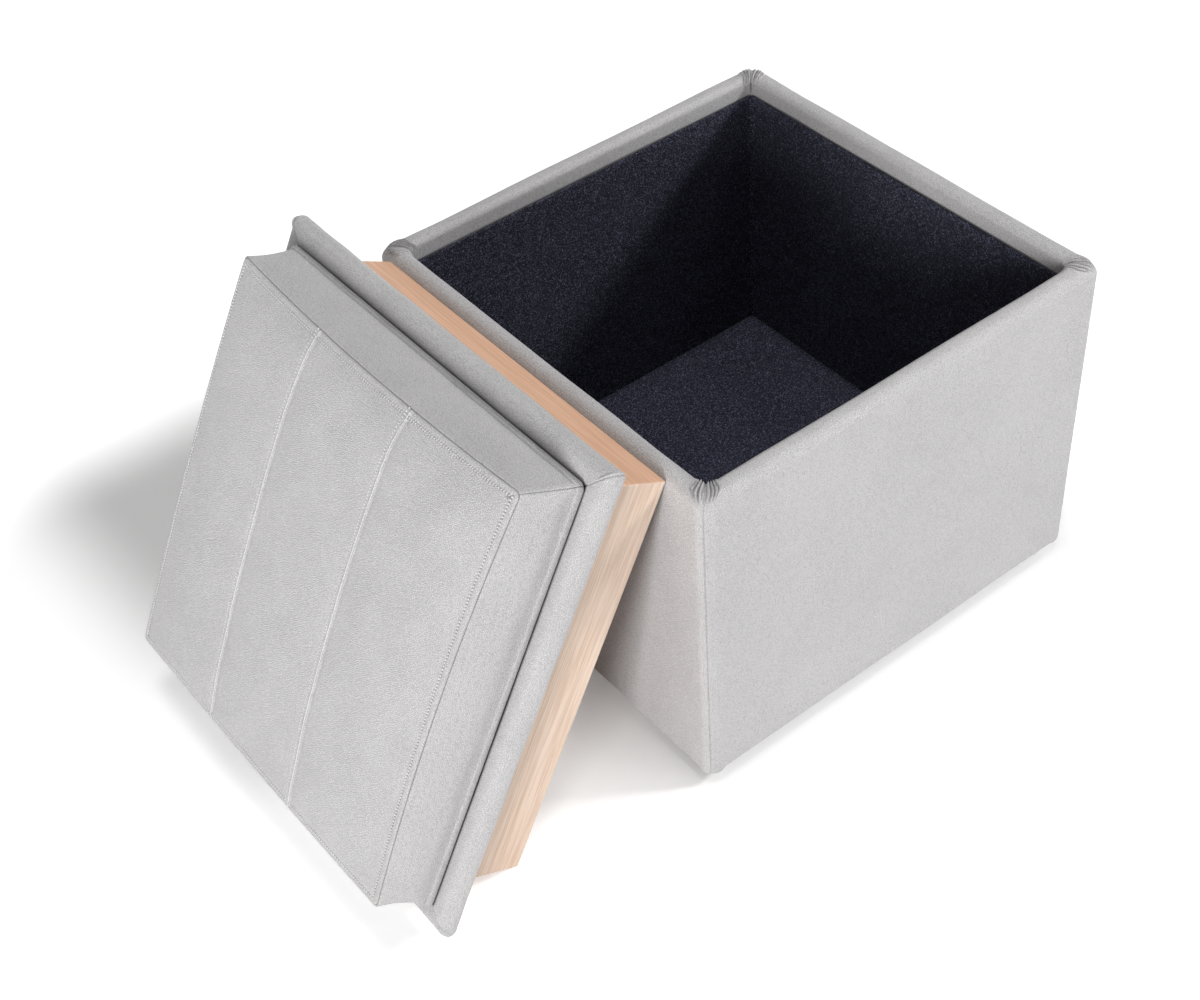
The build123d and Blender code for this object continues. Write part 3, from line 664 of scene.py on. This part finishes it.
# Lid flange: a padded leather roll round the lid, mitred and sewn at its corners.
FLANGE_CORNER, FLANGE_ROLL = 3.5 * MM, 10.5 * MM
FLANGE_TOP_TUCK, FLANGE_UNDER_TUCK = 41 * MM, 50 * MM
FLANGE_SWELL, FLANGE_STEP = 1.0 * MM, 8 * MM
FLANGE_COLUMNS = np.array((0.8, 1.6, 2.4, 3.2, 4.2, 5.5, 7, 9, 12, 16, 22, 30)) * MM
EAR_HEIGHT, EAR_LENGTH = 1.9 * MM, 10 * MM


def padded_flange():
    """The flange's leather and foam as one closed ring, made flat and then leaned."""
    middle = FLANGE_TOP / 2
    side = FLANGE_ROLL
    section = [(FLANGE_UNDER_TUCK, 0)] + [(n, 0) for n in evenly(FLANGE_UNDER_TUCK, side, 5 * MM)]
    section += bend((side, side), side, side, -90, -180, 12)
    section += [(0, z) for z in evenly(side, FLANGE_TOP - side, MM)]
    section += bend((side, FLANGE_TOP - side), side, side, 180, 90, 12)
    section += [(n, FLANGE_TOP) for n in evenly(side, FLANGE_TOP_TUCK, 2.5 * MM)]
    outside = len(section)
    low, high = (BOARD_LOW - FLANGE_LOW)[2], (BOARD_HIGH - FLANGE_LOW)[2]
    section += [(FLANGE_TOP_TUCK, high), (FLANGE_PADDING, high)]
    section += [(FLANGE_PADDING, low), (FLANGE_UNDER_TUCK, low)]
    columns = close_columns(LID_HALF, FLANGE_CORNER, FLANGE_COLUMNS, FLANGE_STEP)
    past = columns[2]
    grid = sweep(columns, LID_HALF, section, lambda inset, height: max(FLANGE_CORNER - inset * 0.35, 2 * MM))
    out = ring_normals(grid)
    leather = (np.arange(len(section)) < outside)[:, None]
    inset = np.array([n for n, _ in section])[:, None]
    height = np.array([z for _, z in section])[:, None]
    upper = ease(height, middle * 0.6, middle * 1.4)

    # The top swells near its edge and sinks towards the cushion.
    crest = bell(inset - 11 * MM, 9 * MM) - 0.6 * ease(inset, 14 * MM, 26 * MM)
    lift = FLANGE_SWELL * upper * (crest - 0.3)
    lift = lift + 0.3 * MM * (waviness(grid, *FLANGE_WAVES) - 1) * ease(np.abs(past), 10 * MM, 40 * MM)
    # A folded ear beside each corner seam, the seam itself, and painted shade on the flange top in the gap
    # under the cushion.
    tip = 1 - ease(inset, 0.5 * EAR_LENGTH, EAR_LENGTH)
    ear = bell(past - 2.6 * MM, 1.5 * MM) - 0.7 * bell(past - 5.6 * MM, 1.4 * MM)
    lift = lift + EAR_HEIGHT * upper * tip * ear
    lift = lift + 0.3 * MM * bell(np.abs(past) - 2.2 * MM, 1.2 * MM) - 0.8 * MM * bell(past, 0.6 * MM)
    under = LID_HALF[0] - CUSHION_HALF[0]
    dark = 0.6 * bell(past, 0.4 * MM) + 0.95 * ease(inset, under - 0.4 * MM, under + 0.8 * MM) * upper
    grid += out * (lift * leather)[..., None]
    faces = ring_faces(*grid.shape[:2])
    flange = make_piece("lid_flange", on_lid(grid), faces, GREY_LEATHER, "lid",
                        dark * leather)
    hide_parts(*names("flange_cover", LID_SIDES), "flange_padding_top", "flange_padding_under")


# Lid cushion: a boxed cover of three top panels and four side bands, swollen over its foam.
CORNER_Z = 85 * MM
FILL, FILL_RISE, FILL_SETTLED = 12.5 * MM, 24 * MM, 0.65
DRAW_IN, BASE_DRAW, CORNER_ROUND = 4 * MM, 0.4 * MM, 7 * MM
BAND_ROLL, BAND_BULGE, BAND_PINCH = 10 * MM, 1.0 * MM, 1.1 * MM
SWELL_PRESSURE, SWELL_REACH, SWELL_FRAMES = 12.0, 4.0 * MM, 20
COARSE_STEP, CARRY_REACH = 11 * MM, 7 * MM
SEAM_ROLL = np.array(((0.5, 0.7), (0.9, 1.6), (1.1, 2.8))) * MM
BASE_FOLD = np.array(((-1.7, 0.8), (-0.3, 1.8), (0.4, 3.2), (0.6, 5.0), (0.5, 6.8), (0.1, 8.2), (-0.6, 9.1),
                      (-1.8, 9.6), (-5, 9.75), (-14, 9.8), (-26, 9.8))) * MM
BAND_ROWS = 12


def seam_lines(half, channels):
    """Grid lines across the cushion's top, close together at its edges and channels."""
    near_edge = np.array((0, 0.7, 1.4, 2.2, 3.2, 4.4, 5.5, 6.5, 7.5, 9, 11.5, 15, 20)) * MM
    near_lap = np.array((-9, -6, -4, -2.6, -1.8, -1.2, -0.6, 0, 0.6, 1.2, 1.8, 2.6, 3.4, 4.2, 5, 6.2, 9)) * MM
    fixed = [-half + near_edge] + [c + near_lap for c in channels] + [half - near_edge[::-1]]
    lines = list(fixed[0])
    for group in fixed[1:]:
        lines += evenly(lines[-1], group[0], 5 * MM)[:-1] + list(group)
    return np.array(lines)


class BoxedCover:
    """A boxed cushion cover over two sets of grid lines. Each point has its distance inside the top seam,
    past the nearest channel and from a corner seam, and its place along the channels."""

    def __init__(self, xs, ys):
        a, b = SEAM_HALF
        self.count = len(xs), len(ys)
        along, across = np.meshgrid(xs, ys, indexing="ij")
        crown = (a * a + b * b) / (2 * (CROWN_Z - CORNER_Z))
        px, py = self.plan(along, across, DRAW_IN)
        down, aside = a - along, b - np.abs(across)
        rise = (1 - np.exp(-down / FILL_RISE)) * (1 - np.exp(-(2 * a - down) / (2 * FILL_RISE)))
        full = rise * (1 - np.exp(-aside / FILL_RISE)) * (1 - FILL_SETTLED * np.power(down / (2 * a), 1.8))
        dome = CROWN_Z - (np.square(px) + np.square(py)) / (2 * crown)
        top = np.stack((px, py, dome + FILL * full), axis=-1)
        index = np.arange(along.size).reshape(self.count)
        self.faces = grid_faces(index)
        rim = np.concatenate((index[-1, :-1], index[:0:-1, -1], index[0, :0:-1], index[:-1, 0]))
        rim_x, rim_y = along.ravel()[rim], across.ravel()[rim]
        corner = np.hypot(a - np.abs(rim_x), b - np.abs(rim_y))
        levels = [top.reshape(-1, 3)]
        last = rim
        for offset, height, draw in self.rows(top.reshape(-1, 3)[rim, 2], corner):
            x, y = self.plan(rim_x, rim_y, draw)
            first = along.size + (len(levels) - 1) * len(rim)
            levels.append(np.column_stack((x * (1 + offset / a), y * (1 + offset / b), height)))
            level = np.arange(first, first + len(rim))
            self.faces += np.stack((level, np.roll(level, -1), np.roll(last, -1), last), axis=-1).tolist()
            last = level
        self.faces.append(last[::-1].tolist())
        self.points = np.concatenate(levels)
        band = len(levels) - 1
        self.row = np.concatenate((np.full(along.size, -1), np.repeat(np.arange(band), len(rim))))
        nearest = np.where(across < 0, -CHANNEL_Y, CHANNEL_Y)
        drop = np.concatenate((SEAM_ROLL[:, 1], np.full(band - len(SEAM_ROLL), 20 * MM)))
        far = np.full(band * len(rim), 1.0)
        inside = np.minimum(a - np.abs(along), b - np.abs(across))
        self.edge = np.concatenate((inside.ravel(), -np.repeat(drop, len(rim))))
        self.lap = np.concatenate(((across - nearest).ravel(), far))
        self.corner = np.concatenate((np.full(along.size, 1.0), np.tile(corner, band)))
        self.along = np.concatenate((along.ravel(), far))
        self.top = self.row < 0

    @staticmethod
    def plan(x, y, draw):
        """Draws the sides in between the corners and rounds the corners."""
        a, b = SEAM_HALF
        px = x - x / a * draw * (1 - np.square(y / b))
        py = y - y / b * draw * (1 - np.square(x / a))
        u, v = np.abs(px) - (a - CORNER_ROUND), np.abs(py) - (b - CORNER_ROUND)
        share = np.where((u > 0) & (v > 0), np.maximum(u, v) / np.maximum(np.hypot(u, v), 1e-9), 1)
        return px + np.sign(px) * u * (share - 1), py + np.sign(py) * v * (share - 1)

    @staticmethod
    def rows(seam_z, corner):
        """Rows down the band: how far out, how high and how much drawn in."""
        taper, crease = CUSHION_HALF[0] - SEAM_HALF[0], FLANGE_TOP + BAND_ROLL
        for out, down in SEAM_ROLL:
            yield out, seam_z - down, DRAW_IN
        out, down = SEAM_ROLL[-1]
        pinched = bell(corner, 14 * MM)
        for part in np.linspace(0, 1, BAND_ROWS + 1)[1:]:
            bulge = (BAND_BULGE - (BAND_BULGE + BAND_PINCH) * pinched) * math.sin(math.pi * part)
            height = (seam_z - down) * (1 - part) + crease * part
            yield out + (taper - 2 * MM - out) * part + bulge, height, DRAW_IN + (BASE_DRAW - DRAW_IN) * part
        for out, down in BASE_FOLD:
            yield taper + out, np.full_like(seam_z, crease - down), BASE_DRAW


def swell(cover):
    """Lets cloth pressure swell a sewn cover that is held at its seams, and tells how each point moves."""
    mesh = bpy.data.meshes.new("sewn_cover")
    mesh.from_pydata(cover.points.tolist(), [], cover.faces)
    sewn = placed("sewn_cover", mesh)
    held = (np.abs(cover.edge) < MM) | (np.abs(cover.lap) < MM) | (cover.corner < MM)
    held |= cover.row >= len(SEAM_ROLL) + BAND_ROWS - 1
    seams = sewn.vertex_groups.new(name="seams")
    seams.add(np.flatnonzero(held).tolist(), 1.0, "REPLACE")
    cloth = sewn.modifiers.new("swelling", "CLOTH").settings
    cloth.quality = 5
    cloth.mass = 0.05
    cloth.tension_stiffness = cloth.compression_stiffness = 20
    cloth.shear_stiffness = 5
    cloth.bending_stiffness = 1
    cloth.use_pressure = True
    cloth.uniform_pressure_force = SWELL_PRESSURE
    cloth.vertex_group_mass = seams.name
    cloth.effector_weights.gravity = 0
    for step in range(1, SWELL_FRAMES + 1):
        scene.frame_set(step)
    shaped = sewn.evaluated_get(bpy.context.evaluated_depsgraph_get())
    move = np.array([v.co for v in shaped.data.vertices]) - cover.points
    bpy.data.objects.remove(sewn)
    scene.frame_set(1)
    length = np.linalg.norm(move, axis=1, keepdims=True)
    return move * np.minimum(1, SWELL_REACH / np.maximum(length, 1e-9))


def carry(places, moves, points, reach):
    """Carries moves known at some places over to other points near them."""
    near = KDTree(len(places))
    for number, place in enumerate(places):
        near.insert(place, number)
    near.balance()
    carried = np.zeros_like(points)
    for number, point in enumerate(points):
        found = near.find_n(point, 12)
        weight = bell(np.array([gap for _, _, gap in found]), reach)
        carried[number] = weight @ moves[[which for _, which, _ in found]] / weight.sum()
    return carried


def mesh_normals(points, faces):
    """Outward directions at the points of a mesh."""
    mesh = bpy.data.meshes.new("for_normals")
    mesh.from_pydata(points.tolist(), [], faces)
    out = np.array([v.normal for v in mesh.vertices])
    bpy.data.meshes.remove(mesh)
    return out


STITCH_SMALLEST, STITCH_LARGEST, STITCH_SEED = (0.9, 0.9, 0.9), (1.08, 1.1, 1.1), 4


def stitch_rows():
    """Geometry nodes that set a row of stitches along each line of a mesh."""
    tree = bpy.data.node_groups.new("stitch_rows", "GeometryNodeTree")
    tree.interface.new_socket("Lines", in_out="INPUT", socket_type="NodeSocketGeometry")
    for size in ("Pitch", "Stitch Length", "Thread Radius"):
        tree.interface.new_socket(size, in_out="INPUT", socket_type="NodeSocketFloat")
    tree.interface.new_socket("Stitches", in_out="OUTPUT", socket_type="NodeSocketGeometry")
    given = put(tree, "NodeGroupInput").outputs
    path = put(tree, "GeometryNodeMeshToCurve", {"Mesh": given["Lines"]}).outputs[0]
    pitch = {"Curve": path, "Length": given["Pitch"]}
    spaced = put(tree, "GeometryNodeResampleCurve", pitch, mode="LENGTH").outputs[0]
    way = put(tree, "GeometryNodeInputTangent").outputs[0]
    turn = put(tree, "FunctionNodeAlignRotationToVector", {"Vector": way}, axis="X").outputs[0]
    bead = put(tree, "GeometryNodeMeshUVSphere", {"Segments": 8, "Rings": 5, "Radius": 1.0}).outputs[0]
    half, thick = times(tree, given["Stitch Length"], 0.5), given["Thread Radius"]
    size = put(tree, "ShaderNodeCombineXYZ", {"X": half, "Y": thick, "Z": thick})
    stitch = put(tree, "GeometryNodeTransform", {"Geometry": bead, "Scale": size.outputs[0]}).outputs[0]
    spread = {"Min": STITCH_SMALLEST, "Max": STITCH_LARGEST, "Seed": STITCH_SEED}
    uneven = put(tree, "FunctionNodeRandomValue", spread, data_type="FLOAT_VECTOR").outputs[0]
    beads = {"Points": spaced, "Instance": stitch, "Rotation": turn, "Scale": uneven}
    row = put(tree, "GeometryNodeInstanceOnPoints", beads).outputs[0]
    whole = put(tree, "GeometryNodeRealizeInstances", {"Geometry": row}).outputs[0]
    smooth = put(tree, "GeometryNodeSetShadeSmooth", {"Geometry": whole}).outputs[0]
    sewn = put(tree, "GeometryNodeSetMaterial", {"Geometry": smooth, "Material": THREAD}).outputs[0]
    put(tree, "NodeGroupOutput", {"Stitches": sewn})
    return tree


def sew(name, lines, body):
    """Stitches along lines of points, as one plain mesh."""
    points, edges = [], []
    for line in lines:
        first = len(points)
        points += line.tolist()
        edges += [(i, i + 1) for i in range(first, len(points) - 1)]
    mesh = bpy.data.meshes.new(name + "_lines")
    mesh.from_pydata(points, edges, [])
    made = placed(name, mesh)
    tree = stitch_rows()
    rows = made.modifiers.new("stitches", "NODES")
    rows.node_group = tree
    sizes = {"Pitch": STITCH_PITCH, "Stitch Length": STITCH_LENGTH, "Thread Radius": THREAD_RADIUS}
    for socket in tree.interface.items_tree:
        if socket.name in sizes:
            rows[socket.identifier] = sizes[socket.name]
    sewn = made.evaluated_get(bpy.context.evaluated_depsgraph_get())
    made.data = bpy.data.meshes.new_from_object(sewn)
    made.modifiers.clear()
    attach(made, body)


def paced(line, first, last):
    """How far along a row of stitches its points lie, counted in stitches from the first."""
    way = run(line)
    length = way[last] - way[first]
    return (way - way[first]) / length * int(length / STITCH_PITCH)


def boxed_cushion():
    """The cushion's cover, sewn flat, swollen by simulation and then leaned."""
    a, b = SEAM_HALF
    xs, ys = seam_lines(a, ()), seam_lines(b, (-CHANNEL_Y, CHANNEL_Y))
    cover = BoxedCover(xs, ys)
    seams = (-b, -CHANNEL_Y, CHANNEL_Y, b)
    thirds = [y for start, end in zip(seams, seams[1:]) for y in evenly(start, end, COARSE_STEP)]
    plain = BoxedCover(np.array([-a] + evenly(-a, a, COARSE_STEP)), np.array([-b] + thirds))
    cover.points += carry(plain.points, swell(plain), cover.points, CARRY_REACH)
    points, edge, lap, corner, top = cover.points, cover.edge, cover.lap, cover.corner, cover.top

    # The edge seam is drawn in, with a roll beside it and a dip under its stitches.
    out = mesh_normals(points, cover.faces)
    lift = -0.9 * MM * bell(edge, 0.7 * MM) + 0.45 * MM * bell(edge - 2.4 * MM, 1.5 * MM) * top
    lift -= 0.35 * MM * bell(edge - EDGE_STITCH, 1.2 * MM) * top
    # Each channel is a lapped seam: a ridge, a valley beside it and a stitched flat.
    ridge = 1.0 * MM * bell(lap, 0.8 * MM) - 1.0 * MM * bell(lap - 2.0 * MM, 0.9 * MM)
    ridge += 0.5 * MM * bell(lap - 3.4 * MM, 1.0 * MM) - 0.45 * MM * bell(lap - LAP_STITCH, 0.8 * MM)
    ridge -= 0.6 * MM * bell(lap + 2.6 * MM, 1.4 * MM)
    lift += ridge * top * ease(edge, 0, 3 * MM)
    # The bands' corner seams, then soft unevenness, and nothing below the base fold.
    lift += (0.3 * MM * bell(corner - 2.2 * MM, 1.4 * MM) - 0.7 * MM * bell(corner, 0.7 * MM)) * ~top
    lift += 0.35 * MM * (waviness(points, *CUSHION_WAVES) - 0.5) * ease(np.abs(edge), 2 * MM, 20 * MM)
    foot = cover.row - len(SEAM_ROLL) - BAND_ROWS
    lift *= foot < 5
    # The edge and band corner seams are dark lines; painted shade darkens the valley beside each channel
    # ridge, the crease at the top of the base fold, and the fold's underside in its gap to the flange.
    dark = 0.75 * bell(edge, 0.4 * MM) + 0.4 * bell(lap - 2.0 * MM, 0.5 * MM) * top
    dark += 0.7 * bell(corner, 0.45 * MM) * ~top + 0.22 * (foot == 0) + 0.9 * (foot >= 7)
    cover.points += out * lift[:, None]

    cushion = make_piece("lid_cushion", on_lid(cover.points), cover.faces, SEWN_LEATHER, "lid",
                         dark)
    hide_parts(*TOP_PANELS, *names("cushion_band", LID_SIDES), "cushion_foam")

    surface = (cover.points + out * 0.75 * THREAD_RADIUS)[top].reshape(*cover.count, 3)
    at_x = [int(np.argmin(np.abs(xs - s * (a - EDGE_STITCH)))) for s in (-1, 1)]
    at_y = [int(np.argmin(np.abs(ys - s * (b - EDGE_STITCH)))) for s in (-1, 1)]
    lines = [surface[i, at_y[0]:at_y[1] + 1] for i in at_x] + [surface[at_x[0]:at_x[1] + 1, j] for j in at_y]
    for y in (-CHANNEL_Y, CHANNEL_Y):
        lines.append(surface[1:-1, int(np.argmin(np.abs(ys - y - LAP_STITCH)))])
    sew("cushion_stitches", [on_lid(line) for line in lines], "lid")

    low, high = (paced(surface[i], *at_y) for i in at_x)
    front, back = (paced(surface[:, j], *at_x) for j in at_y)
    down, aside = (a - np.abs(xs))[:, None], b - np.abs(ys)
    stepped = np.where(down < aside, np.where(xs[:, None] < 0, low, high),
                       np.where(ys < 0, front[:, None], back[:, None]))
    travel = np.zeros(len(cover.points))
    travel[top] = stepped.ravel()
    for name, values in (("edge", edge), ("lap", lap), ("travel", travel), ("along", cover.along)):
        field = cushion.data.attributes.new(name, "FLOAT", "POINT")
        field.data.foreach_set("value", values.astype(np.float32))


upholstered_box()
lined_walls()
lined_floor()
dust_sheet()
padded_flange()
boxed_cushion()

# Studio: a pale floor, soft lamps and a camera at the photograph's angle.
CAMERA_AZIMUTH, CAMERA_ELEVATION, CAMERA_ROLL = map(math.radians, (-35.087, 43.667, -4.66))
CAMERA_DISTANCE, CAMERA_LENS, CAMERA_SENSOR = 1.9033, 57.73, 36
CAMERA_TARGET = Vector((-0.0179, -0.0254, 0.190))
# The floor keeps its shadow near two areas, each given by its middle and half size, and is white elsewhere.
STANDING_AREA, SHADED_AREA = ((0.18, 0, 0), (0.25, 0.255, 1)), ((0.04, 0.305, 0), (0.36, 0.205, 1))
SHADE_FADE, PALING, HORIZON = (0.0, 0.15), (0.0, 0.12), (0.6, 2.0)
FLOOR_REACH, FLOOR_NEAR, FLOOR_FAR, WORLD_STRENGTH = 12.0, 0.18, 0.5, 0.13
# Each lamp's place, aim, size and power.
LAMPS = {
    "key": ((5.1, -3.1, 4.0), (0.1, 0, 0.2), 1.2, 280),
    "high": ((2.6, -4.9, 6.1), (0.1, 0, 0.2), 1.5, 24),
    "front": ((-5.16, -2.85, 1.3), (0, 0, 0.2), 1.6, 270),
    "top": ((-0.3, -0.3, 6.2), (0.1, 0, 0.1), 1.6, 90),
}


def studio_camera():
    """The camera, aimed and rolled as in the photograph."""
    az, el = CAMERA_AZIMUTH, CAMERA_ELEVATION
    back = Vector((math.sin(az) * math.cos(el), -math.cos(az) * math.cos(el), math.sin(el)))
    right = Vector((math.cos(az), math.sin(az), 0))
    up = back.cross(right)
    turned = math.cos(CAMERA_ROLL) * right + math.sin(CAMERA_ROLL) * up
    camera = placed("camera", bpy.data.cameras.new("camera"))
    camera.data.lens = CAMERA_LENS
    camera.data.sensor_width = CAMERA_SENSOR
    place = Matrix((turned, back.cross(turned), back)).transposed().to_4x4()
    place.translation = CAMERA_TARGET + back * CAMERA_DISTANCE
    camera.matrix_world = place
    scene.camera = camera


def seen_directly(tree):
    """1 for what the camera sees straight, in a mirror or through glass."""
    path = put(tree, "ShaderNodeLightPath").outputs
    mirrored = maths(tree, "MAXIMUM", path["Is Glossy Ray"], path["Is Transmission Ray"])
    return maths(tree, "MAXIMUM", path["Is Camera Ray"], mirrored)


def distance_outside(tree, place, middle, half):
    """Distance outside a rectangle on the floor."""
    none = (0, 0, 0)
    for operation, value in (("SUBTRACT", middle), ("ABSOLUTE", none), ("SUBTRACT", half), ("MAXIMUM", none)):
        place = vectors(tree, operation, place, value).outputs[0]
    return vectors(tree, "LENGTH", place, none).outputs["Value"]


def pale_floor(near, far):
    """A white studio floor that keeps the shadow, and turns white away from the part."""
    mesh = bpy.data.meshes.new("studio_floor")
    turns = ((-1, -1), (1, -1), (1, 1), (-1, 1))
    mesh.from_pydata([(FLOOR_REACH * x, FLOOR_REACH * y, 0) for x, y in turns], [], [(0, 1, 2, 3)])
    floor = placed("studio_floor", mesh)
    material, tree, surface, place = new_material("white_floor")
    cloud = noise(tree, place, 3.0, 2.0)
    feed(tree, surface, Base_Color=between(tree, cloud, (0.91, 0.91, 0.91, 1), (0.93, 0.93, 0.93, 1)))
    fix(surface, Roughness=0.9, Specular_IOR_Level=0.1, Emission_Color=(1, 1, 1, 1))
    away = distance_outside(tree, place, *STANDING_AREA)
    shade = ramp(tree, distance_outside(tree, place, *SHADED_AREA), *SHADE_FADE, 0.0, far)
    glow = maths(tree, "MINIMUM", shade, ramp(tree, away, *PALING, near, far))
    glow = plus(tree, glow, ramp(tree, away, *HORIZON, 0.0, 1 - far))
    feed(tree, surface, Emission_Strength=times(tree, seen_directly(tree), glow))
    mesh.materials.append(material)


def white_world(strength):
    """Even light from all round, white where it is seen."""
    world = bpy.data.worlds.new("studio")
    world.use_nodes = True
    scene.world = world
    tree = world.node_tree
    level = plus(tree, strength, times(tree, seen_directly(tree), 1 - strength))
    tree.links.new(level, tree.nodes["Background"].inputs["Strength"])
    tree.nodes["Background"].inputs["Color"].default_value = (1, 1, 1, 1)


def soft_lamp(name, place, aim, size, power):
    """A square softbox."""
    lamp = bpy.data.lights.new(name, "AREA")
    lamp.size = size
    lamp.energy = power
    made = placed(name, lamp)
    made.location = place
    made.rotation_mode = "QUATERNION"
    made.rotation_quaternion = (Vector(aim) - Vector(place)).to_track_quat("-Z", "Y")


studio_camera()
pale_floor(FLOOR_NEAR, FLOOR_FAR)
white_world(WORLD_STRENGTH)
for name, setting in LAMPS.items():
    soft_lamp(name, *setting)
scene.view_settings.view_transform = "Standard"
